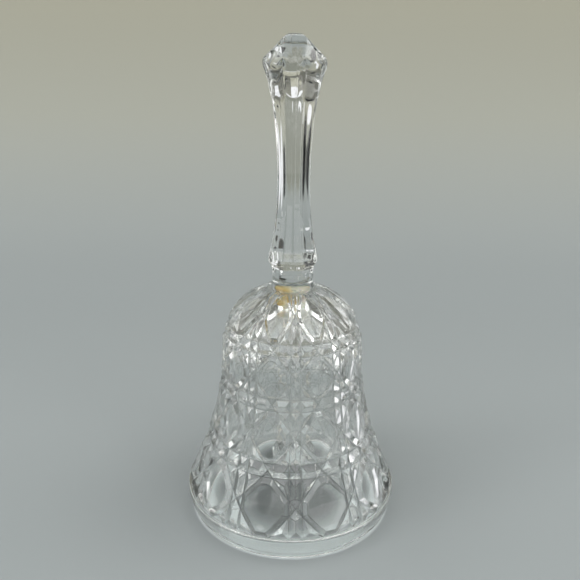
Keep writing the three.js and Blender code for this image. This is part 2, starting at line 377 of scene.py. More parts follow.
def quarter_cell(creases):
    """Points and triangles of one quarter of a cell, with a soft strip along each side of a crease."""
    points, edges = [], []

    def add_line(a, b):
        a, b = Vector(a), Vector(b)
        pieces = max(1, math.ceil((b - a).length / GRID_STEP))
        first = len(points)
        points.extend(a.lerp(b, k / pieces) for k in range(pieces + 1))
        edges.extend((first + k, first + k + 1) for k in range(pieces))

    def clipped(a, b):
        for axis in (0, 1):
            for limit, sign in ((0.0, 1), (1.0, -1)):
                inside_a, inside_b = sign * (a[axis] - limit), sign * (b[axis] - limit)
                if inside_a < 0 and inside_b < 0:
                    return None
                if inside_a < 0 or inside_b < 0:
                    meet = a.lerp(b, inside_a / (inside_a - inside_b))
                    meet[axis] = limit
                    a, b = (meet, b) if inside_a < 0 else (a, meet)
        return a, b

    square = [(0, 0), (1, 0), (1, 1), (0, 1)]
    for corner, next_corner in zip(square, square[1:] + square[:1]):
        add_line(corner, next_corner)
    for a, b in creases:
        along = (b - a).normalized()
        side = Vector((-along.y, along.x)) * SOFT_EDGE * SOFT_STRIP
        for shift in (-1, 0, 1):
            kept = clipped(a + side * shift, b + side * shift)
            if kept and (kept[1] - kept[0]).length > SHORTEST_LINE:
                add_line(*kept)

    grid = [k * GRID_STEP for k in range(1, int(1 / GRID_STEP) + 1)]
    grid_points = [Vector((x, y)) for x in grid for y in grid]
    points.extend(p for p in grid_points if not near_crease(p, creases, CREASE_CLEARANCE))
    found = geometry.delaunay_2d_cdt(points, edges, [], 0, MERGE_DISTANCE)

    def snapped(value):
        whole = round(value)
        return whole if abs(value - whole) < SNAP_DISTANCE else round(value, KEY_DIGITS)

    return [(snapped(v.x), snapped(v.y)) for v in found[0]], [tuple(f) for f in found[2]]


def glass_cup(surface):
    """The patterned outside of the cup.

    Returns its lower and upper rings of points, and the points on creases.
    """
    lengths, radii, heights = outer_meridian()
    slopes_r = np.gradient(radii, lengths)
    slopes_z = np.gradient(heights, lengths)
    row_knots, length_knots = [], []
    for row, (bottom, top) in enumerate(ROW_LIMITS):
        row_knots += [2 * row - GROOVE_Y, 2 * row + GROOVE_Y]
        length_knots.append(np.interp(bottom, heights, lengths))
        length_knots.append(lengths[-1] if top is None else np.interp(top, heights, lengths))

    def place(column, row, x, y):
        angle = FIRST_COLUMN_ANGLE + (column + x / 2) * math.tau / COLUMNS
        along = np.interp(2 * row + y, row_knots, length_knots)
        radius = np.interp(along, lengths, radii)
        z = np.interp(along, lengths, heights)
        out_r, out_z = np.interp(along, lengths, slopes_z), -np.interp(along, lengths, slopes_r)
        depth = GROOVE_DEPTH * (radius / BAND_RADIUS) ** GROOVE_THINNING * soft_cut(x, y)
        return polar(radius + depth * out_r, angle, z + depth * out_z)

    creases = crease_lines()
    quarter_points, quarter_faces = quarter_cell(creases)
    on_crease = {p for p in quarter_points if near_crease(Vector(p), creases, CREASE_REACH)}
    known = {}
    creased = set()
    lower_ring, upper_ring = {}, {}

    def to_key(value):
        return round(value * 10.0**KEY_DIGITS)

    def vertex(column, row, x, y):
        key = (to_key(2 * column + x) % to_key(2 * COLUMNS), to_key(2 * row + y))
        if key not in known:
            known[key] = surface.add(place(column, row, x, y))
        return known[key], key

    low_limit = -GROOVE_Y
    high_limit = 2 * (len(ROW_LIMITS) - 1) + GROOVE_Y
    for row in range(len(ROW_LIMITS)):
        for column in range(COLUMNS):
            for sx, sy in ((1, 1), (-1, 1), (-1, -1), (1, -1)):
                for face in quarter_faces:
                    corners = [quarter_points[i] for i in face]
                    middle_y = 2 * row + sy * sum(c[1] for c in corners) / 3
                    if not low_limit < middle_y < high_limit:
                        continue
                    if sx * sy < 0:
                        corners.reverse()
                    found = [vertex(column, row, sx * x, sy * y) for x, y in corners]
                    triangle = tuple(index for index, _ in found)
                    if len(set(triangle)) == 3:
                        surface.faces.append(triangle)
                    creased.update(i for i, corner in zip(triangle, corners) if corner in on_crease)
                    for index, (kx, ky) in found:
                        if ky == to_key(low_limit):
                            lower_ring[kx] = index
                        if ky == to_key(high_limit):
                            upper_ring[kx] = index
    lower, upper = ([ring[k] for k in sorted(ring)] for ring in (lower_ring, upper_ring))
    return lower, upper, creased


def band_and_cavity(surface, lower_ring):
    """The plain rim band, the flat rim, and the smooth inside of the cup, with the socket at the crown.

    Returns the indices of the points on the inside.
    """
    profile = [
        (BAND_RADIUS - 0.8, BAND_HEIGHT - 0.08),
        (BAND_RADIUS - 0.4, BAND_HEIGHT - 0.3),
        (BAND_RADIUS - 0.12, BAND_HEIGHT - 0.8),
    ]
    profile += [(band_radius(z), z) for z in (8.6, 7.7, 6.6, 5.4, 4.2, 3.0, 1.9, 1.2)]
    profile += [
        (band_radius(RIM_ROUND) - 0.03, RIM_ROUND),
        (RIM_RADIUS - 0.15, 0.15),
        (RIM_RADIUS - RIM_ROUND, 0),
    ]
    outside_rings = len(profile)
    inner_rim = RIM_RADIUS - WALL
    profile += [(inner_rim + RIM_ROUND, 0), (inner_rim + 0.15, 0.15), (inner_rim, RIM_ROUND)]
    profile += [(cavity_radius(z), z) for z in np.linspace(1.5, SHOULDER_HEIGHT, FLARE_RINGS)]
    for turn in np.linspace(0, math.pi / 2, DOME_RINGS)[1:-1]:
        z = SHOULDER_HEIGHT + (CAVITY_HEIGHT - SHOULDER_HEIGHT) * math.sin(turn)
        if cavity_radius(z) > SOCKET_RADIUS + 1.2:
            profile.append((cavity_radius(z), z))
    mouth = dome_height(SOCKET_RADIUS)
    profile += [
        (SOCKET_RADIUS + 0.6, dome_height(SOCKET_RADIUS + 0.6)),
        (SOCKET_RADIUS + 0.12, mouth + 0.12),
        (SOCKET_RADIUS, mouth + 0.7),
        (SOCKET_RADIUS, SOCKET_TOP - 4),
        (SOCKET_RADIUS, SOCKET_TOP - 0.8),
        (SOCKET_RADIUS - 0.25, SOCKET_TOP - 0.25),
        (SOCKET_RADIUS - 0.8, SOCKET_TOP),
        (2.0, SOCKET_TOP),
    ]
    rings = [surface.add_ring(circle(radius, z, CUP_SIDES)) for radius, z in profile]
    surface.zip_rings(rings[0], lower_ring)
    for below, above in zip(rings[1:], rings):
        surface.bridge(below, above)
    surface.cap(rings[-1], (0, 0, SOCKET_TOP), upward=False)
    return range(rings[outside_rings][0], len(surface.points))


def cavity_radius(z):
    """Radius of the smooth inside of the cup."""
    if z <= BAND_HEIGHT:
        return band_radius(z) - WALL
    if z <= SHOULDER_HEIGHT:
        return flare_radius(z) - WALL
    up = (z - SHOULDER_HEIGHT) / (CAVITY_HEIGHT - SHOULDER_HEIGHT)
    return (WAIST_RADIUS - WALL) * math.sqrt(max(0.0, 1 - up * up))


def dome_height(radius):
    """Height of the inside of the crown at a distance from the axis."""
    share = radius / (WAIST_RADIUS - WALL)
    return SHOULDER_HEIGHT + (CAVITY_HEIGHT - SHOULDER_HEIGHT) * math.sqrt(1 - share * share)


# ---------------- the handle


def handle_outline():
    """Distance from the axis to the handle's flats, from the neck up, as (height, distance)."""
    return [
        (NECK_HEIGHT, NECK_RADIUS - 0.1),
        (104.2, NECK_RADIUS - 0.05),
        (105.2, NECK_RADIUS + 0.15),
        (106.4, FOOT_RADIUS - 0.6),
        (107.4, FOOT_RADIUS - 0.1),
        (108.3, FOOT_RADIUS),
        (109.4, FOOT_RADIUS - 0.08),
        (113.0, 8.65),
        (117.0, 7.85),
        (121.0, 7.25),
        (127.0, 6.65),
        (137.0, STEM_RADIUS),
        (146.0, 6.35),
        (155.0, 6.85),
        (162.0, 7.55),
        (167.2, 8.3),
        (171.0, 9.2),
        (174.4, 10.0),
        (176.6, 10.75),
        (178.4, 11.4),
        (KNOB_EDGE_HEIGHT, KNOB_RADIUS),
        (181.4, 11.15),
        (183.2, 9.65),
        (185.3, 7.4),
        (187.2, 5.5),
        (188.7, 4.0),
        (189.6, 2.7),
        (HEIGHT - 0.02, 1.1),
    ]


def handle_section(flat, z):
    """Angle, radius and height round the eight-sided handle, with soft edges and two fine mould seams.

    The facets are slightly crowned. The four main ones hold their width towards the tip of the knob,
    where the section turns square. Where the stem's facets run out in the knob, they end in arcs.
    """
    half = flat * math.tan(EIGHTH / 2) if z < KNOB_EDGE_HEIGHT else TIP_FLAT_SHARE * flat
    half = min(half, TIP_FLAT_HALF_WIDTH)
    slant = (flat + half) / math.sqrt(2)
    edge = math.atan2(half, flat)
    seams = [(SEAM_ANGLE - HANDLE_TURN + side * math.pi) % math.tau for side in (0, 1)]
    seam_reach = min(SEAM_HALF_WIDTH / flat, SEAM_MAX_ANGLE)
    in_knob = share_between(KNOB_START, KNOB_FULL, z)
    sharpness = STEM_EDGE_SHARPNESS + (KNOB_EDGE_SHARPNESS - STEM_EDGE_SHARPNESS) * in_knob
    lift = ARC_LIFT * smooth_step(*ARC_RISE, z) * (1 - smooth_step(*ARC_FALL, z))
    eased = [(k / FACET_STEPS) ** FACET_CROWDING for k in range(FACET_STEPS + 1)]

    def octant(edge_angle):
        """Angles across half a main facet and half a slanting one, crowded at the edge between them."""
        before = [edge_angle * (1 - e) for e in reversed(eased[1:])]
        return before + [edge_angle + (EIGHTH - edge_angle) * e for e in eased[:-1]]

    section = [seam + share * seam_reach for seam in seams for share in (-1, -0.5, 0, 0.5, 1)]
    for number in range(8):
        for angle, regular in zip(octant(edge), octant(EIGHTH / 2)):
            if number % 2:
                angle, regular = EIGHTH - angle, EIGHTH - regular
            start = number * EIGHTH
            if min(abs(start + regular - seam) for seam in seams) > SEAM_CLEARANCE:
                section.append((start + angle) % math.tau)
    result = []
    for angle in sorted(section):
        total = 0.0
        for k in range(8):
            lean = math.cos(angle - k * EIGHTH)
            if lean > 0:
                total += (lean / (flat if k % 2 == 0 else slant)) ** sharpness
        to_seam = min(abs(angle - seam) for seam in seams) / seam_reach
        raised = SEAM_HEIGHT * max(0.0, 1 - to_seam) * min(1.0, flat / STEM_RADIUS)
        within = angle % (2 * EIGHTH)
        within = min(within, 2 * EIGHTH - within)
        past_edge = (EIGHTH - within) / (EIGHTH - edge)
        off_middle = within / edge if within < edge else past_edge
        radius = total ** (-1 / sharpness) * (1 - FACET_CROWN * off_middle**2) + raised
        result.append((angle + HANDLE_TURN, radius, z + lift * off_middle**2))
    return result


def neck_and_handle(surface, upper_ring):
    """The round neck, a fine step, and the faceted handle up to its tip."""
    neck = [
        (NECK_RADIUS + 0.35, 96.9),
        (NECK_RADIUS + 0.14, 97.6),
        (NECK_RADIUS + 0.04, 98.8),
        (NECK_RADIUS, 100.4),
        (NECK_RADIUS, 102.2),
        (NECK_RADIUS - 0.03, 102.8),
        (NECK_RADIUS - 0.08, 103.2),
    ]
    rings = [surface.add_ring(circle(radius, z, NECK_SIDES)) for radius, z in neck]
    surface.zip_rings(upper_ring, rings[0])
    for below, above in zip(rings, rings[1:]):
        surface.bridge(below, above)
    previous = None
    for z, flat in catmull_rom(handle_outline()):
        section = handle_section(flat, z)
        ring = surface.add_ring(polar(radius, angle, height) for angle, radius, height in section)
        if previous is None:
            surface.zip_rings(rings[-1], ring)
        else:
            surface.bridge(previous, ring)
        previous = ring
    surface.cap(previous, (0, 0, HEIGHT), upward=True)


def make_glass_bell(material):
    surface = Surface()
    lower_ring, upper_ring, creased = glass_cup(surface)
    inside = band_and_cavity(surface, lower_ring)
    neck_and_handle(surface, upper_ring)
    bell = new_object("cut_glass_bell", surface.points, surface.faces, "bell", material)
    for name, indices in (("inside", inside), ("crease", creased)):
        mark = bell.data.attributes.new(name, "FLOAT", "POINT")
        for index in indices:
            mark.data[index].value = 1.0
    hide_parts("glass_bell")


# ---------------- plug, chain and clapper


def node_middle(name):
    """Height of the middle of a CAD node, in millimetres."""
    low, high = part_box(name)
    return (low[2] + high[2]) / 2 / MM


def wire(surface, path, turned):
    """A round wire along a path of (across, height, radius), across X, or across Y if turned."""
    rings = []
    for i, (across, z, radius) in enumerate(path):
        before, after = path[max(i - 1, 0)], path[min(i + 1, len(path) - 1)]
        along = math.hypot(after[0] - before[0], after[1] - before[1])
        side_across, side_z = (after[1] - before[1]) / along, (before[0] - after[0]) / along
        ring = []
        for k in range(WIRE_SIDES):
            angle = k * math.tau / WIRE_SIDES
            out, off_plane = radius * math.cos(angle), radius * math.sin(angle)
            flat, up = across + out * side_across, z + out * side_z
            ring.append((-off_plane, flat, up) if turned else (flat, off_plane, up))
        rings.append(surface.add_ring(ring))
    for one, other in zip(rings, rings[1:]):
        surface.bridge(one, other)
    for end, upward in ((0, False), (-1, True)):
        across, z, _ = path[end]
        surface.cap(rings[end], (0, across, z) if turned else (across, 0, z), upward)


def rounded_wire_ends(path):
    """Adds a small round to both ends of a wire's path."""

    def end(last, before):
        length = math.hypot(last[0] - before[0], last[1] - before[1])
        dx, dz = (last[0] - before[0]) / length, (last[1] - before[1]) / length
        return [
            (last[0] + dx * go, last[1] + dz * go, last[2] * share)
            for go, share in WIRE_END_ROUNDING
        ]

    return list(reversed(end(path[0], path[1]))) + path + end(path[-1], path[-2])


def make_adhesive_plug(material):
    """Adhesive that fills the socket and has run out below it, thin at its edge."""
    surface = Surface()
    low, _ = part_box("adhesive_plug")
    bottom = low[2] / MM
    angles = [k * math.tau / PLUG_SIDES for k in range(PLUG_SIDES)]
    rng = np.random.default_rng(5)
    waves = [(k, rng.uniform(0.1, 0.5) / k, rng.uniform(0, math.tau)) for k in (2, 3, 4, 5, 7)]

    def edge(angle):
        to_side = PLUG_RUN * max(0.0, math.cos(angle - PLUG_RUN_ANGLE)) ** 2
        wavy = sum(size * math.sin(k * angle + start) for k, size, start in waves)
        return PLUG_RADIUS + to_side + wavy

    def under(share, angle):
        """Height of the free surface, which climbs up the wire and thins out towards the edge."""
        full = (1 - share**PLUG_FULLNESS) ** PLUG_EDGE_POWER
        climb = PLUG_CLIMB * math.exp(-(((share * PLUG_RADIUS - WIRE_RADIUS) / PLUG_CLIMB_REACH) ** 2))
        ripple = PLUG_RIPPLE * math.sin(3 * angle + 4 * share) * share
        meet = dome_height(edge(angle))
        return meet - (meet - bottom) * full + (climb - 0.1) * (1 - share) + ripple * (1 - share)

    rings = []
    for share in np.linspace(0.07, 1, 26) ** 0.8:
        rings.append(surface.add_ring(polar(share * edge(a), a, under(share, a)) for a in angles))
    mouth = SOCKET_RADIUS + PLUG_CONTACT
    for share in np.linspace(0.85, 0, 5):
        radii = [mouth + 0.1 + share * (edge(a) - mouth - 0.1) for a in angles]
        ring = [polar(r, a, dome_height(r) + PLUG_CONTACT) for r, a in zip(radii, angles)]
        rings.append(surface.add_ring(ring))
    top = SOCKET_TOP + PLUG_CONTACT
    core = [
        (mouth, dome_height(mouth) + 0.6),
        (mouth, SOCKET_TOP - 4),
        (mouth, top - 0.9),
        (mouth - 0.25, top - 0.25),
        (mouth - 0.9, top),
        (2.0, top),
    ]
    rings += [surface.add_ring(circle(radius, z, PLUG_SIDES)) for radius, z in core]
    for one, other in zip(rings, rings[1:]):
        surface.bridge(one, other)
    surface.cap(rings[0], (0, 0, bottom + 0.3), upward=False)
    surface.cap(rings[-1], (0, 0, top), upward=True)
    plug = new_object("adhesive_blob", surface.points, surface.faces, "bell", material)
    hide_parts("adhesive_plug")


def loop_with_legs(height, legs_top):
    """Path of one bent wire: down one leg, round an eye, and up the other leg."""
    eye_top = height + EYE_RADIUS
    corners = [(LEG_OFFSET, legs_top), (LEG_OFFSET, eye_top + 1.6), (LEG_OFFSET + 0.06, eye_top + 0.5)]
    start, stop = EYE_OPENING, -math.pi - EYE_OPENING
    ring = []
    for k in range(EYE_STEPS + 1):
        angle = start + (stop - start) * k / EYE_STEPS
        ring.append((EYE_RADIUS * math.cos(angle), height + EYE_RADIUS * math.sin(angle)))
    mirrored = [(-across, z) for across, z in reversed(corners)]
    line = catmull_rom(corners + ring + mirrored)
    return [(across, z, WIRE_RADIUS) for across, z in line]


def make_crown_eye(material):
    """A bent wire eye with both legs set in the adhesive."""
    low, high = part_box("crown_eye")
    height = low[2] / MM + EYE_RADIUS + WIRE_RADIUS
    surface = Surface()
    wire(surface, rounded_wire_ends(loop_with_legs(height, high[2] / MM - LEG_INSET)), turned=True)
    eye = new_object("bent_eye", surface.points, surface.faces, "bell", material)
    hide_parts("crown_eye")


def make_chain_link(number, material):
    """An oval link bent from wire, with its cut in the middle of one side."""
    height = node_middle(f"chain_link_{number}")
    turned = number % 2 == 0
    side = 1 if number % 3 else -1
    path = []
    for k in range(LINK_SIDE_STEPS):
        path.append((LINK_BEND, LINK_CUT + (LINK_STRAIGHT - LINK_CUT) * k / LINK_SIDE_STEPS))
    for middle, first in ((LINK_STRAIGHT, 0), (-LINK_STRAIGHT, math.pi)):
        for k in range(LINK_BEND_STEPS + 1):
            angle = first + math.pi * k / LINK_BEND_STEPS
            path.append((LINK_BEND * math.cos(angle), middle + LINK_BEND * math.sin(angle)))
        if middle > 0:
            count = LINK_SIDE_STEPS + 1
            path += [(-LINK_BEND, LINK_STRAIGHT * (1 - 2 * k / count)) for k in range(1, count)]
    for k in range(1, LINK_SIDE_STEPS + 1):
        path.append((LINK_BEND, -LINK_STRAIGHT + (LINK_STRAIGHT - LINK_CUT) * k / LINK_SIDE_STEPS))
    surface = Surface()
    path = [(side * across, height + z, WIRE_RADIUS) for across, z in path]
    wire(surface, rounded_wire_ends(path), turned)
    name, body = f"open_link_{number}", f"link_{number}"
    link = new_object(name, surface.points, surface.faces, body, material)
    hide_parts(f"chain_link_{number}")


def make_clapper_pin(material):
    """A pin with a flat head, run through the ball and bent over into an eye."""
    low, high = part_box("clapper_pin")
    bottom = low[2] / MM
    height = high[2] / MM - EYE_RADIUS - WIRE_RADIUS
    head = [
        (0, 0.7), (0.06, 1.15), (0.16, 1.36), (0.3, PIN_HEAD_RADIUS),
        (0.46, 1.34), (0.56, 1.1), (0.6, 0.62),
    ]
    path = [(0, bottom + up, radius) for up, radius in head]
    bends = [
        (0, bottom + 0.9), (0, bottom + 6.0),
        (0, height - 4.2), (-0.06, height - 3.1), (-0.36, height - 2.45),
    ]
    start, stop = math.radians(HOOK_START), math.radians(HOOK_START - HOOK_SWEEP)
    for k in range(HOOK_STEPS + 1):
        angle = start + (stop - start) * k / HOOK_STEPS
        bends.append((EYE_RADIUS * math.cos(angle), height + EYE_RADIUS * math.sin(angle)))
    line = [(across, z, WIRE_RADIUS) for across, z in catmull_rom(bends)]
    path += rounded_wire_ends(line)[2:]
    surface = Surface()
    wire(surface, path, turned=False)
    pin = new_object("head_pin", surface.points, surface.faces, "clapper", material)
    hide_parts("clapper_pin")


def facet_directions():
    """The directions that the ball's cut facets face: up, down, and round it in belts."""
    directions = [Vector((0, 0, 1)), Vector((0, 0, -1))]
    for latitude, count, turn in BALL_BELTS:
        lift = math.radians(latitude)
        for k in range(count):
            angle = (k + turn) * math.tau / count
            directions.append(Vector(polar(math.cos(lift), angle, math.sin(lift))))
    return directions


def facet_outline(direction, others, distance):
    """The polygon that the planes round a facet leave of its own plane."""
    across = direction.orthogonal().normalized()
    up = direction.cross(across)
    reach = 2 * distance
    centre = direction * distance
    square = ((-reach, -reach), (reach, -reach), (reach, reach), (-reach, reach))
    outline = [centre + across * x + up * y for x, y in square]
    for other in others:
        if other == direction:
            continue
        kept = []
        for here, there in zip(outline, outline[1:] + outline[:1]):
            inside_here, inside_there = distance - here.dot(other), distance - there.dot(other)
            if inside_here >= 0:
                kept.append(here)
            if (inside_here < 0) != (inside_there < 0):
                kept.append(here.lerp(there, inside_here / (inside_here - inside_there)))
        outline = kept
    return outline


def make_clapper_ball(material):
    """A faceted crystal ball, drilled through for the pin."""
    height = node_middle("clapper_ball")
    directions = facet_directions()
    outlines = [facet_outline(direction, directions, 1.0) for direction in directions]
    furthest = max(corner.length for outline in outlines for corner in outline)
    size = (BALL_RADIUS - BALL_CLEARANCE) / furthest
    surface = Surface()
    known = {}

    def corner_index(corner):
        place = corner * size
        for index, other in known.items():
            if (other - place).length < 0.01:
                return index
        index = surface.add((place.x, place.y, height + place.z))
        known[index] = place
        return index

    bore = {}
    for direction, outline in zip(directions, outlines):
        ring = []
        for corner in outline:
            index = corner_index(corner)
            if index not in ring:
                ring.append(index)
        if abs(direction.z) < 0.999:
            surface.faces.append(tuple(ring))
            continue
        z = height + direction.z * size
        hole = surface.add_ring(circle(BALL_BORE, z, BORE_SIDES))
        bore[direction.z > 0] = hole
        first = len(surface.faces)
        if direction.z > 0:
            surface.zip_rings(ring, hole)
        else:
            surface.zip_rings(ring[::-1], hole)
            surface.faces[first:] = [face[::-1] for face in surface.faces[first:]]
    surface.bridge(bore[True], bore[False])
    ball = new_object("cut_ball", surface.points, surface.faces, "clapper", material, smooth=False)
    bevel = ball.modifiers.new("worn_edges", "BEVEL")
    bevel.width = BALL_EDGE_WEAR * MM
    bevel.segments = 2
    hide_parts("clapper_ball")


# ---------------- materials

CRYSTAL_IOR = 1.54


def new_material(name, values):
    """A material, its node tree and its shader, with values set on the shader's own sockets."""
    material = bpy.data.materials.new(name)
    material.use_nodes = True
    shader = material.node_tree.nodes["Principled BSDF"]
    for socket, value in values.items():
        shader.inputs[socket].default_value = value
    return material, material.node_tree, shader


def add_node(tree, kind, **settings):
    """A shader node with its properties and its sockets' values set by name."""
    node = tree.nodes.new(kind)
    for name, value in settings.items():
        if name in node.inputs:
            node.inputs[name].default_value = value
        else:
            setattr(node, name, value)
    return node


def object_place(tree):
    """Places in the object's own metres."""
    return add_node(tree, "ShaderNodeTexCoord").outputs["Object"]


def axis_value(tree, place, axis):
    parts = add_node(tree, "ShaderNodeSeparateXYZ")
    tree.links.new(place, parts.inputs["Vector"])
    return parts.outputs[axis]


def distance_from_axis(tree, place):
    """Distance of a place from the Z axis."""
    flat = add_node(tree, "ShaderNodeVectorMath", operation="MULTIPLY")
    flat.inputs[1].default_value = (1, 1, 0)
    tree.links.new(place, flat.inputs[0])
    reach = add_node(tree, "ShaderNodeVectorMath", operation="LENGTH")
    tree.links.new(flat.outputs["Vector"], reach.inputs[0])
    return reach.outputs["Value"]


def map_range(tree, source, start, stop, interpolation="LINEAR"):
    """A value that goes from 0 to 1 as its source goes from start to stop."""
    node = add_node(tree, "ShaderNodeMapRange", interpolation_type=interpolation)
    node.inputs["From Min"].default_value = start
    node.inputs["From Max"].default_value = stop
    tree.links.new(source, node.inputs["Value"])
    return node.outputs["Result"]


def maths(tree, operation, first, second):
    node = add_node(tree, "ShaderNodeMath", operation=operation)
    tree.links.new(first, node.inputs[0])
    tree.links.new(second, node.inputs[1])
    return node.outputs["Value"]


def mix(tree, factor, first, second, blend_type="MIX"):
    """A mix of two colours. The factor and the colours are sockets or fixed values."""
    node = add_node(tree, "ShaderNodeMix", data_type="RGBA", blend_type=blend_type)
    for name, value in (("Factor", factor), ("A", first), ("B", second)):
        if isinstance(value, bpy.types.NodeSocket):
            tree.links.new(value, node.inputs[name])
        else:
            node.inputs[name].default_value = value
    return node.outputs["Result"]


def noise(tree, scale, detail=3.0, roughness=0.5, stretch=(1, 1, 1)):
    """A noise texture in the object's own metres."""
    mapping = add_node(tree, "ShaderNodeMapping")
    mapping.inputs["Scale"].default_value = stretch
    texture = add_node(tree, "ShaderNodeTexNoise", Scale=scale, Detail=detail, Roughness=roughness)
    tree.links.new(object_place(tree), mapping.inputs["Vector"])
    tree.links.new(mapping.outputs["Vector"], texture.inputs["Vector"])
    return texture.outputs["Fac"]


def opaque(colour):
    """Red, green, blue and alpha for a colour or a plain grey."""
    return (*colour, 1) if isinstance(colour, tuple) else (colour, colour, colour, 1)


def ramp(tree, source, *stops):
    """A colour ramp through (position, colour) stops. A plain number stands for a grey."""
    node = add_node(tree, "ShaderNodeValToRGB")
    elements = node.color_ramp.elements
    while len(elements) < len(stops):
        elements.new(0.5)
    for element, (position, colour) in zip(elements, stops):
        element.position = position
        element.color = opaque(colour)
    tree.links.new(source, node.inputs["Fac"])
    return node.outputs["Color"]


def bump(tree, shader, source, strength, distance):
    node = add_node(tree, "ShaderNodeBump", Strength=strength, Distance=distance)
    tree.links.new(source, node.inputs["Height"])
    tree.links.new(node.outputs["Normal"], shader.inputs["Normal"])


def point_mark(tree, name):
    """A value that the mesh holds for each of its points."""
    return add_node(tree, "ShaderNodeAttribute", attribute_name=name).outputs["Fac"]


def glass_material():
    """Clear lead crystal, fire polished outside with a trace of dust, and duller where the plunger was.

    The cuts hold thin, uneven dark lines of painted shade along their creases.
    """
    values = {"Transmission Weight": 1.0, "IOR": CRYSTAL_IOR}
    material, tree, shader = new_material("clear_crystal", values)
    dust = ramp(tree, noise(tree, 260, 6, 0.65), (0.52, 0.0), (0.74, 0.06))
    plunger = ramp(tree, noise(tree, 180, 4, 0.6), (0.3, 0.09), (0.7, 0.16))
    roughness = mix(tree, point_mark(tree, "inside"), dust, plunger)
    tree.links.new(roughness, shader.inputs["Roughness"])
    # Painted shade: the base colour darkens along the cut creases, unevenly along their length.
    uneven_painted_shade = ramp(tree, noise(tree, 240, 3, 0.6), (0.38, 0.25), (0.6, 1.0))
    lines = maths(tree, "MULTIPLY", point_mark(tree, "crease"), uneven_painted_shade)
    tint = mix(tree, lines, opaque((0.988, 0.996, 0.992)), opaque((0.20, 0.21, 0.20)))
    tree.links.new(tint, shader.inputs["Base Color"])
    bump(tree, shader, noise(tree, 130, 2, 0.4), 0.12, 0.0006)
    absorb = add_node(tree, "ShaderNodeVolumeAbsorption", Density=9.0)
    absorb.inputs["Color"].default_value = opaque((0.36, 0.39, 0.33))
    tree.links.new(absorb.outputs["Volume"], tree.nodes["Material Output"].inputs["Volume"])
    return material


def ball_material():
    """Polished crystal for the clapper, with a few fine scratches from use."""
    values = {
        "Base Color": opaque((0.95, 0.97, 0.96)),
        "Transmission Weight": 1.0,
        "IOR": CRYSTAL_IOR,
    }
    material, tree, shader = new_material("ball_crystal", values)
    scuffs = ramp(tree, noise(tree, 900, 4, 0.7, (1, 1, 0.15)), (0.58, 0.0), (0.72, 0.12))
    tree.links.new(scuffs, shader.inputs["Roughness"])
    return material


def adhesive_material():
    """Cloudy adhesive with small ripples, yellowed on one side of the crown and pale on the other."""
    values = {
        "Transmission Weight": 0.45,
        "IOR": 1.5,
        "Subsurface Weight": 0.3,
        "Subsurface Radius": (0.002, 0.0014, 0.0007),
        "Subsurface Scale": 1.0,
    }
    material, tree, shader = new_material("yellowed_adhesive", values)
    across = map_range(tree, axis_value(tree, object_place(tree), "X"), -0.003, 0.003)
    tone = ramp(
        tree,
        maths(tree, "ADD", across, noise(tree, 260, 4, 0.6)),
        (0.35, (0.72, 0.50, 0.13)),
        (0.65, (0.88, 0.72, 0.32)),
        (0.9, (0.92, 0.84, 0.55)),
        (1.0, (0.86, 0.84, 0.70)),
    )
    tree.links.new(tone, shader.inputs["Base Color"])
    gloss = ramp(tree, noise(tree, 420, 3), (0.35, 0.25), (0.7, 0.5))
    tree.links.new(gloss, shader.inputs["Roughness"])
    bump(tree, shader, noise(tree, 700, 3), 0.35, 0.0004)
    return material


def wire_material():
    """Nickel-plated drawn wire, duller and browner in patches where the plating has aged."""
    material, tree, shader = new_material("nickel_wire", {"Metallic": 1.0})
    tone = ramp(
        tree,
        noise(tree, 600, 4, 0.6),
        (0.3, (0.42, 0.38, 0.32)),
        (0.5, (0.62, 0.60, 0.56)),
        (0.7, (0.74, 0.73, 0.70)),
    )
    tree.links.new(tone, shader.inputs["Base Color"])
    gloss = ramp(tree, noise(tree, 1500, 3, 0.6), (0.35, 0.16), (0.7, 0.42))
    tree.links.new(gloss, shader.inputs["Roughness"])
    bump(tree, shader, noise(tree, 2600, 2, 0.5, (1, 1, 0.2)), 0.25, 0.0001)
    return material


# ---------------- camera, light and ground

SENSOR_WIDTH = 36
LENS = SENSOR_WIDTH * 650 / 580
CAMERA_PLACE = (0, -245.8, 177.0)
CAMERA_PITCH = math.radians(18.55)
CAMERA_YAW = math.radians(0.24)
CAMERA_ROLL = math.radians(0.55)

# The ground's profile as (depth, height), and the air between the rim and the ground.
GROUND_PROFILE = [
    (-1500, 0), (0, 0), (250, 0), (420, 25), (560, 110), (640, 260), (680, 500), (690, 1200),
]
GROUND_HALF_WIDTH = 1500
GROUND_GAP = 0.08
# How high the ground's colour changes, and how far its painted shade and painted ring of light reach
# from the bell's axis, in metres.
GROUND_TONE_RISE = 0.5
GROUND_PAINTED_SHADE_REACH = 0.1

# Patches of the room: direction, the angles from it where the patch begins and is full, and colour.
ROOM_COLOUR = (1.26, 1.28, 1.25)
ROOM = [
    ((0, 0, 1), 80, 32, (2.1, 2.13, 2.1)),
    ((0, 0, 1), 24, 13, (0.5, 0.5, 0.48)),
    ((-0.3, -0.8, 0.75), 40, 24, (2.4, 2.4, 2.4)),
    ((0.9, 0.2, 0.8), 26, 20, (4.0, 4.0, 3.9)),
    ((-0.9, -0.6, 0.5), 20, 14, (2.8, 2.8, 2.8)),
    ((-0.8, -0.3, 0.6), 11, 8, (9.0, 9.0, 8.8)),
    ((0.6, -0.5, 0.75), 8, 5, (8.0, 8.0, 7.8)),
    ((0.1, 0.6, 0.9), 9, 5, (5.0, 5.0, 4.8)),
]

# Distances from a card's middle where its oval ends and where it is full, as shares of its size.
CARD_EDGE, CARD_FULL = 0.5, 0.36
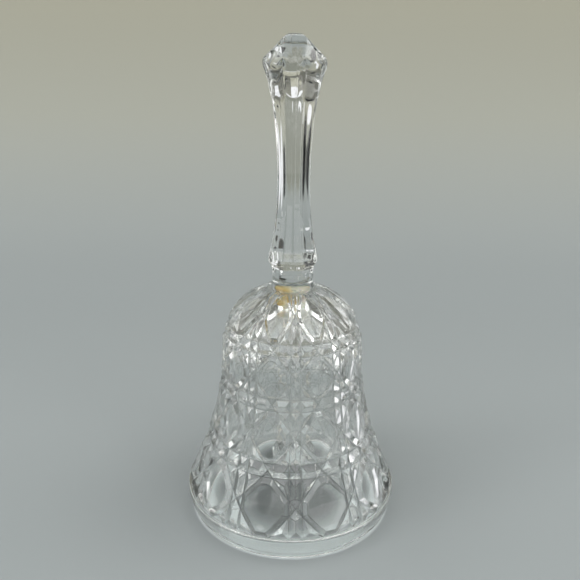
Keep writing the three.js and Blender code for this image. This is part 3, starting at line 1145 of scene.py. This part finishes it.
# Oval cards that only the glass sees, by kind: the kind's colour and brightness, then each card's
# azimuth in degrees, and its distance, height, width and length in millimetres.
CARDS = {
    "bright_card": ((1, 1, 1), 1.9, [
        (25, 230, 50, 26, 14),
        (-62, 230, 110, 110, 180),
        (70, 230, 60, 80, 80),
        (150, 230, 90, 60, 120),
    ]),
    "light_card": ((0.97, 0.97, 1.0), 1.05, [
        (34, 230, 118, 54, 140),
        (-26, 230, 188, 20, 36),
        (-2.7, 230, 194, 11, 28),
        (0, 225, 221, 120, 7),
        (37, 230, 240, 34, 10),
        (-29, 150, 50, 16, 8),
        (85, 160, 20, 120, 50),
    ]),
    "dark_card": ((1, 1, 1), 0.02, [
        (22.5, 230, 112, 40, 84),
        (-32, 230, 130, 52, 130),
        (33, 230, 263, 104, 20),
        (25, 230, 196, 40, 12),
        (21, 230, 230, 22, 9),
        (-26, 230, 254, 44, 15),
        (-31, 230, 216, 50, 12),
        (-25, 230, 78, 14, 12),
        (22, 100, 57, 42, 12),
        (-42, 100, 55, 30, 14),
        (-70, 200, 40, 80, 50),
        (-46, 230, 202, 50, 34),
        (28, 150, 47, 16, 6),
        (28, 150, 60, 16, 4),
        (52, 230, 48, 26, 40),
        (-50, 230, 40, 30, 36),
        (95, 230, 130, 40, 70),
        (-95, 230, 70, 40, 60),
        (-146, 420, 150, 330, 300),
    ]),
    "grey_card": ((0.97, 1.0, 0.85), 0.28, [(0, 262, 168, 140, 210)]),
    "cream_card": ((1.0, 0.985, 0.80), 0.50, [(0.2, 235, 247, 128, 56)]),
}


def make_camera():
    """The view from a little above, level with the knob."""
    data = bpy.data.cameras.new("camera")
    data.sensor_width = SENSOR_WIDTH
    data.lens = LENS
    data.clip_start = 0.01
    camera = bpy.data.objects.new("camera", data)
    yaw = Matrix.Rotation(CAMERA_YAW, 4, "Z")
    pitch = Matrix.Rotation(math.pi / 2 - CAMERA_PITCH, 4, "X")
    roll = Matrix.Rotation(CAMERA_ROLL, 4, "Z")
    place = Matrix.Translation(Vector(CAMERA_PLACE) * MM)
    camera.matrix_world = place @ (yaw @ pitch @ roll)
    bpy.context.scene.collection.objects.link(camera)
    bpy.context.scene.camera = camera


def ground_material():
    """Pale cloth-grey, warmer and then darker where it rises, with painted shade under the bell and a
    painted bright ring of light under its rim, as glass throws them.
    """
    material, tree, shader = new_material("ground", {"Roughness": 0.9})
    place = object_place(tree)
    tone = ramp(
        tree,
        map_range(tree, axis_value(tree, place, "Z"), 0, GROUND_TONE_RISE),
        (0.0, (0.188, 0.206, 0.208)),
        (0.25, (0.216, 0.22, 0.19)),
        (0.55, (0.234, 0.228, 0.18)),
        (0.72, (0.095, 0.092, 0.075)),
    )
    # Painted shade inside the bell, a painted bright ring of light under the rim, and faint painted
    # shade just outside it.
    shade = ramp(
        tree,
        map_range(tree, distance_from_axis(tree, place), 0, GROUND_PAINTED_SHADE_REACH),
        (0.0, 0.85), (0.12, 0.75), (0.19, 0.8), (0.25, 1.35), (0.31, 2.1),
        (0.35, 3.3), (0.41, 3.5), (0.43, 1.0), (0.6, 0.97), (1.0, 1.0),
    )
    tree.links.new(mix(tree, 1.0, tone, shade, "MULTIPLY"), shader.inputs["Base Color"])
    return material


def make_ground():
    """A pale seamless ground that rises behind the bell."""
    surface = Surface()
    line = catmull_rom(GROUND_PROFILE)
    for y, z in line:
        height = max(0.0, z) - GROUND_GAP
        surface.add((-GROUND_HALF_WIDTH, y, height))
        surface.add((GROUND_HALF_WIDTH, y, height))
    for k in range(len(line) - 1):
        surface.faces.append((2 * k, 2 * k + 1, 2 * k + 3, 2 * k + 2))
    ground = new_object("ground", surface.points, surface.faces, None, ground_material())


def card_material(name, colour, brightness):
    """An even glow in an oval, and clear round it."""
    material = bpy.data.materials.new(name)
    material.use_nodes = True
    tree = material.node_tree
    tree.nodes.clear()
    place = add_node(tree, "ShaderNodeTexCoord")
    centred = add_node(tree, "ShaderNodeVectorMath", operation="SUBTRACT")
    centred.inputs[1].default_value = (0.5, 0.5, 0)
    tree.links.new(place.outputs["Generated"], centred.inputs[0])
    reach = distance_from_axis(tree, centred.outputs["Vector"])
    within = map_range(tree, reach, CARD_EDGE, CARD_FULL, "SMOOTHSTEP")
    clear = add_node(tree, "ShaderNodeBsdfTransparent")
    glow = add_node(tree, "ShaderNodeEmission", Strength=brightness)
    glow.inputs["Color"].default_value = opaque(colour)
    blend = add_node(tree, "ShaderNodeMixShader")
    tree.links.new(within, blend.inputs["Fac"])
    tree.links.new(clear.outputs["BSDF"], blend.inputs[1])
    tree.links.new(glow.outputs["Emission"], blend.inputs[2])
    output = add_node(tree, "ShaderNodeOutputMaterial")
    tree.links.new(blend.outputs["Shader"], output.inputs["Surface"])
    return material


def make_card(name, azimuth, distance, height, width, tall, material):
    """A card that faces the bell. Azimuth 0 is behind the bell, and grows to the right."""
    surface = Surface()
    x, y = width / 2, tall / 2
    surface.faces.append(tuple(surface.add_ring([(-x, -y, 0), (x, -y, 0), (x, y, 0), (-x, y, 0)])))
    card = new_object(name, surface.points, surface.faces, None, material)
    turn = math.radians(azimuth)
    centre = Vector((distance * math.sin(turn), distance * math.cos(turn), height)) * MM
    upright = Matrix.Rotation(math.pi / 2, 4, "X")
    card.matrix_world = Matrix.Translation(centre) @ Matrix.Rotation(-turn, 4, "Z") @ upright
    card.visible_camera = False
    card.visible_diffuse = False
    card.visible_shadow = False


def make_cards():
    for kind, (colour, brightness, cards) in CARDS.items():
        material = card_material(kind, colour, brightness)
        for number, sizes in enumerate(cards):
            make_card(f"{kind}_{number}", *sizes, material)


def make_world():
    """The room round the bell: patches of light and dark, each a soft-edged disc of directions."""
    world = bpy.data.worlds.new("world")
    bpy.context.scene.world = world
    world.use_nodes = True
    tree = world.node_tree
    place = add_node(tree, "ShaderNodeTexCoord")
    colour = opaque(ROOM_COLOUR)
    for direction, wide, narrow, tint in ROOM:
        dot = add_node(tree, "ShaderNodeVectorMath", operation="DOT_PRODUCT")
        dot.inputs[1].default_value = Vector(direction).normalized()
        tree.links.new(place.outputs["Generated"], dot.inputs[0])
        begins, full = math.cos(math.radians(wide)), math.cos(math.radians(narrow))
        mask = map_range(tree, dot.outputs["Value"], begins, full, "SMOOTHSTEP")
        colour = mix(tree, mask, colour, opaque(tint))
    tree.links.new(colour, tree.nodes["Background"].inputs["Color"])


def render_settings():
    cycles = bpy.context.scene.cycles
    cycles.max_bounces = 24
    cycles.transmission_bounces = 24
    cycles.glossy_bounces = 8
    cycles.diffuse_bounces = 3
    cycles.sample_clamp_indirect = 8
    cycles.use_denoising = True
    bpy.context.scene.view_settings.view_transform = "Standard"


make_camera()
make_ground()
make_world()
make_cards()
render_settings()
make_glass_bell(glass_material())
make_adhesive_plug(adhesive_material())
nickel = wire_material()
make_crown_eye(nickel)
for link_number in range(1, LINK_COUNT + 1):
    make_chain_link(link_number, nickel)
make_clapper_pin(nickel)
make_clapper_ball(ball_material())
